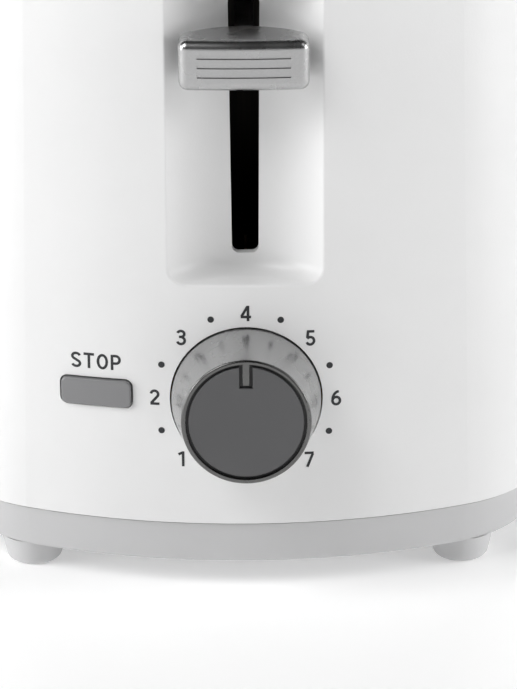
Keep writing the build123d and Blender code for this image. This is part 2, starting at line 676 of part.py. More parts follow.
with BuildPart() as knob_cap:
    with BuildSketch(panel(CAP_POCKET_DEPTH - BACKING_THICKNESS - KNOB_REACH)):
        Circle(CAP_POCKET_RADIUS - CAP_GROOVE)
        with Locations((0, POINTER_INNER_RADIUS - POINTER_END_GROOVE)):
            notch_width = POINTER_WIDTH + 2 * POINTER_GROOVE
            Rectangle(notch_width, CAP_POCKET_RADIUS, align=MIDDLE_LOW, mode=Mode.SUBTRACT)
    extrude(amount=CAP_THICKNESS)
    cap_face = knob_cap.faces().sort_by(Axis((0, 0, 0), (0, -LEAN[2], LEAN[1])))[-1]
    fillet(cap_face.edges(), CAP_EDGE)
save(knob_cap, "knob_cap")

# ---------------------------------------------------------------- stop button
with BuildPart() as stop_cap:
    with BuildSketch(panel(THROUGH)):
        with Locations((STOP_X, STOP_RISE)):
            RectangleRounded(STOP_WIDTH - 2 * STOP_GAP, STOP_HEIGHT - 2 * STOP_GAP, STOP_CORNER - STOP_GAP)
    extrude(amount=2 * THROUGH)
    add(housing_block(-STOP_PROUD), mode=Mode.INTERSECT)
    outer_face = stop_cap.faces().sort_by(Axis((0, 0, 0), (0, -LEAN[2], LEAN[1])))[-1]
    fillet(outer_face.edges(), STOP_EDGE)
    add(housing_block(WALL + STOP_BACK), mode=Mode.SUBTRACT)

with BuildPart() as stop_flange:
    with BuildSketch(panel(THROUGH)):
        with Locations((STOP_X, STOP_RISE)):
            RectangleRounded(STOP_WIDTH + 2 * STOP_FLANGE, STOP_HEIGHT + 2 * STOP_FLANGE, STOP_CORNER)
    extrude(amount=2 * THROUGH)
    add(housing_block(WALL + LIP_GAP), mode=Mode.INTERSECT)
    add(housing_block(WALL + LIP_GAP + STOP_FLANGE), mode=Mode.SUBTRACT)

with BuildPart() as stop_button:
    add(stop_cap.part)
    add(stop_flange.part)
    with BuildSketch(panel(STOP_STEM_END)):
        with Locations((STOP_X, STOP_RISE)):
            Circle(STOP_STEM_RADIUS)
    extrude(amount=STOP_STEM_END - STOP_STEM_ROOT)
save(stop_button, "stop_button")

plunger_root = STOP_SWITCH_TOP + STOP_PLUNGER_ROOT
with BuildPart() as stop_plunger:
    with BuildSketch(panel(plunger_root)):
        with Locations((STOP_X, STOP_RISE)):
            Circle(STOP_PLUNGER_RADIUS)
    extrude(amount=plunger_root - STOP_STEM_END)
save(stop_plunger, "stop_plunger")

BOARD_FACE = BOARD_DEPTH - BOARD_THICKNESS
with BuildPart() as stop_switch:
    with BuildSketch(panel(BOARD_FACE)):
        with Locations((STOP_X, STOP_RISE)):
            RectangleRounded(STOP_SWITCH_SIDE, STOP_SWITCH_SIDE, STOP_SWITCH_CORNER)
    extrude(amount=BOARD_FACE - STOP_SWITCH_TOP)
    with BuildSketch(panel(BOARD_FACE - STOP_SWITCH_CORNER)):
        with Locations((STOP_X, STOP_RISE)):
            Circle(STOP_PLUNGER_RADIUS + BORE_GAP)
    extrude(amount=STOP_SWITCH_SIDE, mode=Mode.SUBTRACT)
save(stop_switch, "stop_switch")

# ---------------------------------------------------------------- control board and potentiometer
with BuildPart() as control_board:
    with BuildSketch(panel(BOARD_DEPTH)):
        with Locations(((BOARD_LEFT + BOARD_RIGHT) / 2, (BOARD_LOW + BOARD_HIGH) / 2)):
            RectangleRounded(BOARD_RIGHT - BOARD_LEFT, BOARD_HIGH - BOARD_LOW, BOARD_CORNER)
    extrude(amount=BOARD_THICKNESS)
save(control_board, "control_board")

with BuildPart() as potentiometer:
    with BuildSketch(panel(BOARD_FACE)):
        Circle(POT_RADIUS)
        with Locations((0, -POT_RADIUS / 2)):
            Rectangle(2 * POT_RADIUS, POT_RADIUS + POT_TERMINALS)
    extrude(amount=POT_HEIGHT)
    with BuildSketch(panel(BOARD_FACE - POT_HEIGHT)):
        Circle(POT_BUSH_RADIUS)
    extrude(amount=POT_BUSH_HEIGHT)
    with BuildSketch(panel(BOARD_FACE - POT_REAR_WALL)):
        Circle(SHAFT_RADIUS + BORE_GAP)
    extrude(amount=POT_HEIGHT + POT_BUSH_HEIGHT, mode=Mode.SUBTRACT)
save(potentiometer, "potentiometer")

SHAFT_END = BOARD_FACE - POT_REAR_WALL - SHAFT_END_GAP
with BuildPart() as potentiometer_shaft:
    with BuildSketch(panel(SHAFT_END)):
        Circle(SHAFT_RADIUS)
    extrude(amount=SHAFT_END + SHAFT_REACH)
save(potentiometer_shaft, "potentiometer_shaft")

with BuildPart() as board_components:
    for x, y, width, depth, tall in CHIPS:
        with BuildSketch(panel(BOARD_DEPTH)):
            with Locations((x, y)):
                RectangleRounded(width, depth, CHIP_CORNER)
        extrude(amount=-tall)
    for x, y, radius, tall in CAPACITORS:
        with BuildSketch(panel(BOARD_DEPTH)):
            with Locations((x, y)):
                Circle(radius)
        extrude(amount=-tall)
save(board_components, "board_components")

leg_front = front_y(KNOB_HEIGHT + BOARD_LOW) + BOARD_DEPTH + BOARD_BRACKET_GAP
leg_top = KNOB_HEIGHT + BOARD_LOW + BOARD_BRACKET_LEG_RISE
with BuildPart() as board_bracket:
    for x in (BOARD_LEFT + BOARD_BRACKET_INSET, BOARD_RIGHT - BOARD_BRACKET_INSET):
        with BuildSketch(panel(BOARD_DEPTH)):
            with Locations((x, BOARD_LOW + BOARD_BRACKET_PAD / 2)):
                Rectangle(BOARD_BRACKET_WIDTH, BOARD_BRACKET_PAD)
        extrude(amount=-BOARD_BRACKET_PAD_THICKNESS)
        left = x - BOARD_BRACKET_WIDTH / 2
        right = x + BOARD_BRACKET_WIDTH / 2
        block((left, leg_front, BASE_FLOOR_TOP), (right, leg_front + BOARD_BRACKET_LEG, leg_top))
        foot_top = BASE_FLOOR_TOP + BOARD_BRACKET_SHEET
        block((left, leg_front, BASE_FLOOR_TOP), (right, leg_front + BOARD_BRACKET_FOOT, foot_top))
save(board_bracket, "board_bracket")

# ---------------------------------------------------------------- chassis
with BuildPart() as chassis_floor:
    block(
        (-CHAMBER_WIDTH / 2, FRONT_PLATE - SHEET - FRONT_SHELF, CHASSIS_Z),
        (CHAMBER_WIDTH / 2, REAR_PLATE + SHEET, CHASSIS_TOP),
    )
    block(
        (-CHASSIS_HOLE_WIDTH / 2, FRONT_PLATE + CHASSIS_HOLE_INSET, CHASSIS_Z - OVER),
        (CHASSIS_HOLE_WIDTH / 2, REAR_PLATE - CHASSIS_HOLE_INSET, CHASSIS_TOP + OVER),
        Mode.SUBTRACT,
    )
    holes = [(x, y, SCREW_RADIUS + SCREW_GAP) for x, y in CHASSIS_POSTS]
    for x, y, radius in holes + [(ROD_X, ROD_Y, ROD_RADIUS + BORE_GAP)]:
        rod((x, y, CHASSIS_Z - OVER), (x, y, CHASSIS_TOP + OVER), radius, Mode.SUBTRACT)
save(chassis_floor, "chassis_floor")

MICA_XS = {"left": -MICA_X, "centre": 0.0, "right": MICA_X}
TAB_ZS = (MICA_BOTTOM + MICA_TAB_INSET, MICA_TOP - MICA_TAB_INSET - MICA_TAB)
GUARDS = {
    "guard_left_outer": SLOT_XS[0] - GUARD_OFFSET,
    "guard_left_inner": SLOT_XS[0] + GUARD_OFFSET,
    "guard_right_inner": SLOT_XS[1] - GUARD_OFFSET,
    "guard_right_outer": SLOT_XS[1] + GUARD_OFFSET,
}
SLIT_BOTTOM = RACK_TOP - RACK_HEIGHT - LIFT_TRAVEL - RACK_SLIT_MARGIN
SLIT_TOP = RACK_TOP + RACK_SLIT_MARGIN

for name, near in (("front_end_plate", FRONT_PLATE - SHEET), ("rear_end_plate", REAR_PLATE)):
    far = near + SHEET
    with BuildPart() as plate:
        block((-CHAMBER_WIDTH / 2, near, CHASSIS_TOP), (CHAMBER_WIDTH / 2, far, CHAMBER_TOP))
        cuts = [(x, RACK_SLIT, SLIT_BOTTOM, SLIT_TOP) for x in SLOT_XS]
        for x in MICA_XS.values():
            cuts += [(x, MICA_THICKNESS, z, z + MICA_TAB) for z in TAB_ZS]
        for x, width, low, high in cuts:
            block((x - width / 2, near - OVER, low), (x + width / 2, far + OVER, high), Mode.SUBTRACT)
        for x in GUARDS.values():
            start, end = (x, near - OVER, GUARD_BOTTOM), (x, far + OVER, GUARD_BOTTOM)
            rod(start, end, GUARD_AXLE_RADIUS + BORE_GAP, Mode.SUBTRACT)
    save(plate, name)

for name, x in (("reflector_left", -REFLECTOR_X), ("reflector_right", REFLECTOR_X)):
    with BuildPart() as reflector:
        block(
            (x - REFLECTOR_SHEET / 2, FRONT_PLATE, CHASSIS_TOP + SCREW_HEAD_HEIGHT + OVER),
            (x + REFLECTOR_SHEET / 2, REAR_PLATE, CHAMBER_TOP - REFLECTOR_TOP_GAP),
        )
        for z in REFLECTOR_BEADS:
            start, end = (x, FRONT_PLATE + REFLECTOR_BEAD_INSET, z), (x, REAR_PLATE - REFLECTOR_BEAD_INSET, z)
            rod(start, end, REFLECTOR_BEAD_RADIUS)
    save(reflector, name)

# ---------------------------------------------------------------- heaters
RIBBON_PITCH = (MICA_TOP - MICA_BOTTOM - 2 * RIBBON_INSET) / (RIBBON_ROWS - 1)
for side, x in MICA_XS.items():
    with BuildPart() as mica:
        block(
            (x - MICA_THICKNESS / 2, FRONT_PLATE, MICA_BOTTOM),
            (x + MICA_THICKNESS / 2, REAR_PLATE, MICA_TOP),
        )
        for z in TAB_ZS:
            block(
                (x - MICA_THICKNESS / 2, FRONT_PLATE - SHEET - MICA_TAB_REACH, z),
                (x + MICA_THICKNESS / 2, REAR_PLATE + SHEET + MICA_TAB_REACH, z + MICA_TAB),
            )
    save(mica, f"mica_board_{side}")

    faces = {"left": (1,), "centre": (-1, 1), "right": (-1,)}[side]
    with BuildPart() as ribbon:
        for way in faces:
            inner = x + way * MICA_THICKNESS / 2
            outer = inner + way * RIBBON_THICKNESS
            left, right = min(inner, outer), max(inner, outer)
            for row in range(RIBBON_ROWS):
                z = MICA_BOTTOM + RIBBON_INSET + row * RIBBON_PITCH
                block(
                    (left, FRONT_PLATE + RIBBON_END_INSET, z - RIBBON_WIDTH / 2),
                    (right, REAR_PLATE - RIBBON_END_INSET, z + RIBBON_WIDTH / 2),
                )
    save(ribbon, f"heating_ribbon_{side}")

# ---------------------------------------------------------------- bread guards, upright at rest
AXLE_YS = (FRONT_PLATE - GUARD_AXLE_REACH, REAR_PLATE + GUARD_AXLE_REACH)
for name, x in GUARDS.items():
    with BuildPart() as guard:
        rod((x, AXLE_YS[0], GUARD_BOTTOM), (x, AXLE_YS[1], GUARD_BOTTOM), GUARD_AXLE_RADIUS)
        first, last = FRONT_PLATE + GUARD_END_GAP, REAR_PLATE - GUARD_END_GAP
        for row in (GUARD_TOP, (GUARD_BOTTOM + GUARD_TOP) / 2):
            rod((x, first, row), (x, last, row), GUARD_WIRE_RADIUS)
        for i in range(GUARD_WIRES):
            y = first + i * (last - first) / (GUARD_WIRES - 1)
            rod((x, y, GUARD_BOTTOM), (x, y, GUARD_TOP), GUARD_WIRE_RADIUS)
    save(guard, name)

# ---------------------------------------------------------------- carriage, raised
with BuildPart() as carriage_plate:
    block(
        (-CROSSBAR_WIDTH / 2, CARRIAGE_FRONT, CROSSBAR_BOTTOM),
        (CROSSBAR_WIDTH / 2, CARRIAGE_BACK, CROSSBAR_TOP),
    )
    block(
        (MAST_LEFT, CARRIAGE_FRONT, CROSSBAR_BOTTOM),
        (ROD_X + SLIDER_WIDTH / 2, CARRIAGE_BACK, MAST_TOP),
    )
    block(
        (SPRING_X - SPRING_LUG_WIDTH / 2, CARRIAGE_FRONT - LUG_REACH, CROSSBAR_TOP - CARRIAGE_SHEET),
        (SPRING_X + SPRING_LUG_WIDTH / 2, CARRIAGE_FRONT, CROSSBAR_TOP),
    )
    block(
        (SWITCH_X - SWITCH_LUG_WIDTH / 2, CARRIAGE_FRONT - LUG_REACH, CROSSBAR_BOTTOM),
        (SWITCH_X + SWITCH_LUG_WIDTH / 2, CARRIAGE_FRONT, CROSSBAR_BOTTOM + SWITCH_LUG_THICKNESS),
    )
save(carriage_plate, "carriage_plate")

with BuildPart() as carriage_slider:
    block(
        (ROD_X - SLIDER_WIDTH / 2, CARRIAGE_FRONT - SLIDER_DEPTH, SLIDER_BOTTOM),
        (ROD_X + SLIDER_WIDTH / 2, CARRIAGE_FRONT, SLIDER_TOP),
    )
    bore_low, bore_high = (ROD_X, ROD_Y, SLIDER_BOTTOM - OVER), (ROD_X, ROD_Y, SLIDER_TOP + OVER)
    rod(bore_low, bore_high, ROD_RADIUS + BORE_GAP, Mode.SUBTRACT)
save(carriage_slider, "carriage_slider")

FINGER_PITCH = (CHAMBER_LENGTH - 2 * RACK_FINGER_INSET) / (RACK_FINGERS - 1)
for name, x in (("bread_rack_left", SLOT_XS[0]), ("bread_rack_right", SLOT_XS[1])):
    with BuildPart() as rack:
        block(
            (x - RACK_THICKNESS / 2, CARRIAGE_BACK, RACK_TOP - RACK_HEIGHT),
            (x + RACK_THICKNESS / 2, REAR_PLATE + SHEET + RACK_TAIL, RACK_TOP),
        )
        for i in range(RACK_FINGERS):
            y = FRONT_PLATE + RACK_FINGER_INSET + i * FINGER_PITCH
            block(
                (x - RACK_FINGER_WIDTH / 2, y - RACK_FINGER_LENGTH / 2, RACK_TOP - RACK_FINGER_SHEET),
                (x + RACK_FINGER_WIDTH / 2, y + RACK_FINGER_LENGTH / 2, RACK_TOP),
            )
    save(rack, name)

KNOB_BACK = front_y(LEVER_Z) + RECESS_DEPTH - LEVER_KNOB_CLEARANCE
KNOB_FRONT_RADIUS = END_RADIUS + LEVER_KNOB_PROUD - (LEVER_Z - BASE_TOP) * SLOPE
ARM_LOW = (-LEVER_ARM_WIDTH / 2, KNOB_BACK - LEVER_SOCKET, LEVER_Z - LEVER_ARM_HEIGHT / 2)
ARM_HIGH = (LEVER_ARM_WIDTH / 2, CARRIAGE_FRONT, LEVER_Z + LEVER_ARM_HEIGHT / 2)
with BuildPart() as lever_arm:
    block(ARM_LOW, ARM_HIGH)
save(lever_arm, "lever_arm")

with BuildPart() as lever_knob:
    with BuildSketch(level(LEVER_Z - LEVER_KNOB_HEIGHT / 2)):
        with Locations((0, KNOB_BACK - RECESS_ROUND)):
            Circle(RECESS_ROUND)
        with Locations((0, END_RADIUS - BODY_LENGTH / 2)):
            Circle(KNOB_FRONT_RADIUS, mode=Mode.INTERSECT)
        with Locations((0, front_y(LEVER_Z))):
            Rectangle(LEVER_KNOB_WIDTH, 6 * RECESS_DEPTH, mode=Mode.INTERSECT)
    extrude(amount=LEVER_KNOB_HEIGHT)
    fillet(lever_knob.edges(), LEVER_KNOB_ROUND)
    for i in range(GRIP_GROOVES):
        z = LEVER_Z + (i - (GRIP_GROOVES - 1) / 2) * GRIP_GROOVE_PITCH
        with BuildSketch(level(z - GRIP_GROOVE_WIDTH / 2)):
            with Locations((0, END_RADIUS - BODY_LENGTH / 2)):
                Circle(KNOB_FRONT_RADIUS + OVER)
                Circle(KNOB_FRONT_RADIUS - GRIP_GROOVE_DEPTH, mode=Mode.SUBTRACT)
            with Locations((0, KNOB_BACK - RECESS_ROUND)):
                Rectangle(LEVER_KNOB_WIDTH - 4 * LEVER_KNOB_ROUND, 2 * RECESS_ROUND, mode=Mode.INTERSECT)
        extrude(amount=GRIP_GROOVE_WIDTH, mode=Mode.SUBTRACT)
    block(ARM_LOW, ARM_HIGH, Mode.SUBTRACT)
save(lever_knob, "lever_knob")

# ---------------------------------------------------------------- guide rod, bracket and lift spring
with BuildPart() as guide_rod:
    rod((ROD_X, ROD_Y, BASE_TOP), (ROD_X, ROD_Y, ROD_TOP), ROD_RADIUS)
save(guide_rod, "guide_rod")

PLATE_FRONT = FRONT_PLATE - SHEET
with BuildPart() as rod_bracket:
    block(
        (ROD_BRACKET_LEFT, CARRIAGE_FRONT - ROD_BRACKET_REACH, ROD_BRACKET_Z),
        (ROD_BRACKET_RIGHT, PLATE_FRONT, ROD_BRACKET_Z + CARRIAGE_SHEET),
    )
    block(
        (ROD_BRACKET_LEFT, PLATE_FRONT - CARRIAGE_SHEET, ROD_BRACKET_Z - ROD_BRACKET_TAB_HEIGHT),
        (ROD_BRACKET_TAB_RIGHT, PLATE_FRONT, ROD_BRACKET_Z),
    )
    bore_low = (ROD_X, ROD_Y, ROD_BRACKET_Z - OVER)
    rod(bore_low, (ROD_X, ROD_Y, ROD_TOP), ROD_RADIUS + BORE_GAP, Mode.SUBTRACT)
save(rod_bracket, "rod_bracket")

SPRING_Y = CARRIAGE_FRONT - SPRING_SETBACK
SPRING_LENGTH = ROD_BRACKET_Z - CROSSBAR_TOP - 2 * SPRING_WIRE
with BuildPart() as lift_spring:
    with BuildLine(Plane((SPRING_X, MID_Y + SPRING_Y, CROSSBAR_TOP + SPRING_WIRE))) as coil:
        Helix(SPRING_PITCH, SPRING_LENGTH, SPRING_RADIUS)
    with BuildSketch(Plane(coil.edges()[0] @ 0, z_dir=coil.edges()[0] % 0)):
        Circle(SPRING_WIRE)
    sweep(is_frenet=True)
save(lift_spring, "lift_spring")

# ---------------------------------------------------------------- electromagnet and armature
MAGNET_Y = CARRIAGE_FRONT - MAGNET_SETBACK
MAGNET_TOP = CHASSIS_TOP + MAGNET_HEIGHT
with BuildPart() as magnet_frame:
    corner = (MAGNET_X - MAGNET_BACK, MAGNET_Y - MAGNET_SIDE, CHASSIS_TOP)
    back = MAGNET_Y + MAGNET_SIDE
    block(corner, (MAGNET_X + MAGNET_SIDE, back, CHASSIS_TOP + MAGNET_FOOT_THICKNESS))
    block(corner, (MAGNET_X - MAGNET_BACK + MAGNET_UPRIGHT_THICKNESS, back, MAGNET_TOP))
    rod((MAGNET_X, MAGNET_Y, CHASSIS_TOP), (MAGNET_X, MAGNET_Y, MAGNET_TOP), POLE_RADIUS)
save(magnet_frame, "magnet_frame")

COIL_LOW = CHASSIS_TOP + COIL_RISE
COIL_HIGH = COIL_LOW + COIL_HEIGHT
with BuildPart() as magnet_coil:
    rod((MAGNET_X, MAGNET_Y, COIL_LOW), (MAGNET_X, MAGNET_Y, COIL_HIGH), COIL_RADIUS - COIL_FLANGE)
    for z in (COIL_LOW, COIL_HIGH - COIL_FLANGE):
        rod((MAGNET_X, MAGNET_Y, z), (MAGNET_X, MAGNET_Y, z + COIL_FLANGE), COIL_RADIUS)
    bore_low, bore_high = (MAGNET_X, MAGNET_Y, CHASSIS_TOP), (MAGNET_X, MAGNET_Y, MAGNET_TOP)
    rod(bore_low, bore_high, POLE_RADIUS + BORE_GAP, Mode.SUBTRACT)
save(magnet_coil, "magnet_coil")

ARMATURE_BOTTOM = MAGNET_TOP + LIFT_TRAVEL + MAGNET_GAP
with BuildPart() as armature:
    block(
        (MAGNET_X - ARMATURE_SIZE / 2, MAGNET_Y - ARMATURE_SIZE / 2, ARMATURE_BOTTOM),
        (MAGNET_X + ARMATURE_TONGUE, CARRIAGE_FRONT, ARMATURE_BOTTOM + ARMATURE_THICKNESS),
    )
save(armature, "armature")

# ---------------------------------------------------------------- power switch
SWITCH_Y = CARRIAGE_FRONT - SWITCH_SETBACK
PLUNGER_TOP_Z = CROSSBAR_BOTTOM - LIFT_TRAVEL - SWITCH_CLEARANCE
SWITCH_TOP_Z = PLUNGER_TOP_Z - SWITCH_TRAVEL - SWITCH_CLEARANCE
SWITCH_BORE_Z = CHASSIS_TOP + SWITCH_FLOOR
with BuildPart() as power_switch:
    block(
        (SWITCH_X - SWITCH_HALF_WIDTH, SWITCH_Y - SWITCH_FRONT, CHASSIS_TOP),
        (SWITCH_X + SWITCH_HALF_WIDTH, SWITCH_Y + SWITCH_BACK, SWITCH_TOP_Z),
    )
    bore_low, bore_high = (SWITCH_X, SWITCH_Y, SWITCH_BORE_Z), (SWITCH_X, SWITCH_Y, SWITCH_TOP_Z + OVER)
    rod(bore_low, bore_high, SWITCH_PLUNGER_RADIUS + BORE_GAP, Mode.SUBTRACT)
save(power_switch, "power_switch")

with BuildPart() as switch_plunger:
    foot_z = SWITCH_BORE_Z + SWITCH_FLOOR_GAP + SWITCH_TRAVEL
    rod((SWITCH_X, SWITCH_Y, foot_z), (SWITCH_X, SWITCH_Y, PLUNGER_TOP_Z), SWITCH_PLUNGER_RADIUS)
save(switch_plunger, "switch_plunger")

# ---------------------------------------------------------------- crumb tray
with BuildPart() as crumb_tray:
    block((-TRAY_HALF_WIDTH, TRAY_FRONT, TRAY_BOTTOM), (TRAY_HALF_WIDTH, TRAY_REAR, TRAY_TOP))
    block(
        (-TRAY_HALF_WIDTH + TRAY_SHEET, TRAY_FRONT + TRAY_SHEET, TRAY_BOTTOM + TRAY_SHEET),
        (TRAY_HALF_WIDTH - TRAY_SHEET, TRAY_REAR - TRAY_SHEET, TRAY_TOP + OVER),
        Mode.SUBTRACT,
    )
save(crumb_tray, "crumb_tray")

with BuildPart() as crumb_tray_handle:
    add(base_block())
    add(shadow_gap(), mode=Mode.SUBTRACT)
    add(base_block(BASE_WALL, BASE_FLOOR_TOP, BASE_EDGE / 2), mode=Mode.SUBTRACT)
    door = DOOR_HALF_WIDTH - TRAY_DOOR_GAP
    block(
        (-door, BODY_LENGTH / 4, BASE_FLOOR_TOP + TRAY_DOOR_GAP),
        (door, BODY_LENGTH / 2 + OVER, BASE_TOP - TRAY_DOOR_GAP),
        Mode.INTERSECT,
    )
    block((-GRIP_WIDTH / 2, TRAY_REAR, TRAY_BOTTOM), (GRIP_WIDTH / 2, BODY_LENGTH / 2 - BASE_LEAN, TRAY_TOP))
    grip_z = TRAY_BOTTOM + GRIP_RISE
    block((-GRIP_WIDTH / 2, TRAY_REAR, grip_z), (GRIP_WIDTH / 2, REAR_REACH, grip_z + GRIP_THICKNESS))
    fillet(crumb_tray_handle.faces().sort_by(Axis.Y)[-1].edges(), GRIP_EDGE)
save(crumb_tray_handle, "crumb_tray_handle")

# ---------------------------------------------------------------- cord inlet and terminal block
with BuildPart() as cord_bush:
    with BuildSketch(inlet.offset(INLET_GAP)):
        Circle(INLET_FLANGE)
    extrude(amount=INLET_FLANGE_THICKNESS)
    with BuildSketch(inlet.offset(-WALL - INLET_GAP)):
        Circle(INLET_NECK)
    extrude(amount=WALL + 2 * INLET_GAP)
    with BuildSketch(inlet.offset(-WALL - INLET_GAP)):
        Circle(INLET_CLIP)
    extrude(amount=-INLET_FLANGE_THICKNESS)
    with BuildSketch(inlet.offset(-4 * WALL)):
        Circle(INLET_BORE)
    extrude(amount=8 * WALL, mode=Mode.SUBTRACT)
save(cord_bush, "cord_bush")

TERMINAL_Y = REAR_PLATE + TERMINAL_GAP
TERMINAL_RIGHT = TERMINAL_LEFT + TERMINAL_WIDTH
with BuildPart() as terminal_block:
    block(
        (TERMINAL_LEFT, TERMINAL_Y, BASE_FLOOR_TOP),
        (TERMINAL_RIGHT, TERMINAL_Y + TERMINAL_LENGTH, BASE_FLOOR_TOP + TERMINAL_HEIGHT),
    )
    z = BASE_FLOOR_TOP + TERMINAL_BORE_Z
    for i in range(TERMINALS):
        y = TERMINAL_Y + TERMINAL_END + TERMINAL_PITCH * i
        rod((TERMINAL_LEFT - OVER, y, z), (TERMINAL_RIGHT + OVER, y, z), TERMINAL_BORE, Mode.SUBTRACT)
save(terminal_block, "terminal_block")

# ---------------------------------------------------------------- fasteners
with BuildPart() as base_screws:
    for x, y in BOSSES:
        head = FOOT_HEIGHT + SCREW_SINK
        rod((x, y, head), (x, y, head + SCREW_HEAD_HEIGHT), SCREW_HEAD_RADIUS)
        rod((x, y, head), (x, y, BASE_TOP + BASE_SCREW_REACH), SCREW_RADIUS)
        for long_x, long_y in ((1, 0), (0, 1)):
            half_x = DRIVE_WIDTH / 2 + long_x * SCREW_RADIUS
            half_y = DRIVE_WIDTH / 2 + long_y * SCREW_RADIUS
            low, high = (x - half_x, y - half_y, head - OVER), (x + half_x, y + half_y, head + DRIVE_DEPTH)
            block(low, high, Mode.SUBTRACT)
save(base_screws, "base_screws")

with BuildPart() as chassis_screws:
    for x, y in CHASSIS_POSTS:
        rod((x, y, CHASSIS_TOP), (x, y, CHASSIS_TOP + SCREW_HEAD_HEIGHT), SCREW_HEAD_RADIUS)
        rod((x, y, BASE_FLOOR_TOP + CHASSIS_SCREW_ROOT), (x, y, CHASSIS_TOP + OVER), SCREW_RADIUS)
save(chassis_screws, "chassis_screws")
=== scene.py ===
"""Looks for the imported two-slot pop-up toaster: materials, the printed dial, floor, lights and camera.

Everything is in metres in the frame's own axes: the control end faces -Y, +X is to its right, +Z is up.
"""

import json
import math

import bpy
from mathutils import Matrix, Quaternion, Vector
from mathutils.bvhtree import BVHTree


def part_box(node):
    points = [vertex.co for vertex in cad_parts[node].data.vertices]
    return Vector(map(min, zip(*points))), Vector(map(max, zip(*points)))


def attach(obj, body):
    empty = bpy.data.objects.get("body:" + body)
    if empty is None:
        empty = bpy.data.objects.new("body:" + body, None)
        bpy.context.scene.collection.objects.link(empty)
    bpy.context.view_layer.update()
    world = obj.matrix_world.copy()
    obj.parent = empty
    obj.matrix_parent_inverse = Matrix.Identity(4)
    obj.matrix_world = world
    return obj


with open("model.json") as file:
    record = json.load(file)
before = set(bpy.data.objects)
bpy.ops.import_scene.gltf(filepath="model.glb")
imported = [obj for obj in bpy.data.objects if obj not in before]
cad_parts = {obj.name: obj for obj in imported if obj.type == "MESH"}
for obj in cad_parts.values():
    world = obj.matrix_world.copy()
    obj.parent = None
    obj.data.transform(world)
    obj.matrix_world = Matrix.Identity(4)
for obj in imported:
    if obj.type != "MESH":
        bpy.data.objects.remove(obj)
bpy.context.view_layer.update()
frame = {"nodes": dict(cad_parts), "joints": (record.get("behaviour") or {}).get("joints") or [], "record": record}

# ---------------------------------------------------------------- sizes
DIAL_RADIUS = 0.025
DIAL_NUMBERS = 7
DIAL_SWEEP = math.radians(270)
DIAL_TURN = math.radians(0.6)  # the print sits a little turned
DIAL_ASIDE = -0.00025  # and a little to the left
DIGIT_HEIGHT = 0.0044
DOT_RADIUS = 0.0009
WORD_HEIGHT = 0.0044
WORD_RISE = 0.0034  # from the button's top edge to the word's middle
INK_LIFT = 0.00005
INK_DEPTH = 0.00004
STROKE = 0.165  # the print's line width, as a share of its height
LETTER_GAP = 0.17
CAST_FROM = 0.05  # how far out the print is cast on the shell from
ARC_STEP = 12  # degrees
MITRE_LIMIT = 0.6

PATTERN_LOW = 0.3  # the noise values taken as a pattern's two ends
PATTERN_HIGH = 0.7
COAT_ROUGHNESS = 0.12
SILVER = (0.46, 0.46, 0.462)
SILVER_ROUGHNESS = 0.27
# painted shade: the dark colour laid on the knob's front face, standing in for the dim room it reflects
PAINTED_SHADE_FACE = (0.15, 0.15, 0.148)
KNOB_REACH = 0.0186  # from the panel to the knob's front face
FACE_START = 0.0007  # the painted shade on the knob's front face fades in between these depths behind the front
FACE_FULL = 0.0003
FLOOR_COLOUR = (0.93, 0.93, 0.93)

AZIMUTH = math.radians(0.1)
ELEVATION = math.radians(21.17)
ROLL = math.radians(-0.35)
DISTANCE = 1.0907
AIM_RIGHT = 0.00345
AIM_ABOVE_KNOB = 0.0163
SENSOR = 36.0
LENS = 277.8
CLIP_END = 50

ROOM_LIGHT = 0.02
FLOOR_GLOW = 0.27
FAR_GLOW = 0.95
NEAR_FLOOR = 0.9
FAR_FLOOR = 2.6
FLOOR_RADIUS = 30.0
FLOOR_SIDES = 64
LIT_POINT = Vector((0, -0.14, 0.12))
LIGHT_DISTANCE = 1.4
SOFTBOXES = (  # name, azimuth and elevation in degrees, size in metres, power in watts
    ("left_light", -80, 12, 0.7, 10.8),
    ("upper_left_light", -52, 45, 0.7, 8.0),
    ("right_light", 82, 12, 0.7, 10.8),
    ("upper_right_light", 55, 45, 0.7, 1.7),
    ("back_light", 180, 38, 0.9, 8.0),
)


# ---------------------------------------------------------------- node helpers
def new_material(name):
    """An empty material with its output, shader and the object's own coordinates."""
    material = bpy.data.materials.new(name)
    material.use_nodes = True
    tree = material.node_tree
    tree.nodes.clear()
    output = tree.nodes.new("ShaderNodeOutputMaterial")
    shader = tree.nodes.new("ShaderNodeBsdfPrincipled")
    tree.links.new(shader.outputs["BSDF"], output.inputs["Surface"])
    where = tree.nodes.new("ShaderNodeTexCoord")
    return material, tree, shader, where.outputs["Object"]


def stretched(tree, where, stretch):
    """The coordinates scaled by a factor for each axis."""
    mapping = tree.nodes.new("ShaderNodeMapping")
    mapping.inputs["Scale"].default_value = stretch
    tree.links.new(where, mapping.inputs["Vector"])
    return mapping.outputs["Vector"]


def noise(tree, where, scale, detail=3.0, stretch=(1, 1, 1)):
    """A noise pattern, with scale in ripples per metre."""
    texture = tree.nodes.new("ShaderNodeTexNoise")
    texture.inputs["Scale"].default_value = scale
    texture.inputs["Detail"].default_value = detail
    tree.links.new(stretched(tree, where, stretch), texture.inputs["Vector"])
    return texture.outputs["Fac"]


def cells(tree, where, scale):
    """A pattern of flat-toned cells, as on zinc spangle or mica flakes."""
    texture = tree.nodes.new("ShaderNodeTexVoronoi")
    texture.inputs["Scale"].default_value = scale
    tree.links.new(where, texture.inputs["Vector"])
    return texture.outputs["Color"]


def between(tree, pattern, low, high):
    """A number from low to high, following a pattern."""
    ramp = tree.nodes.new("ShaderNodeMapRange")
    ramp.inputs["From Min"].default_value = PATTERN_LOW
    ramp.inputs["From Max"].default_value = PATTERN_HIGH
    ramp.inputs["To Min"].default_value = low
    ramp.inputs["To Max"].default_value = high
    tree.links.new(pattern, ramp.inputs["Value"])
    return ramp.outputs["Result"]


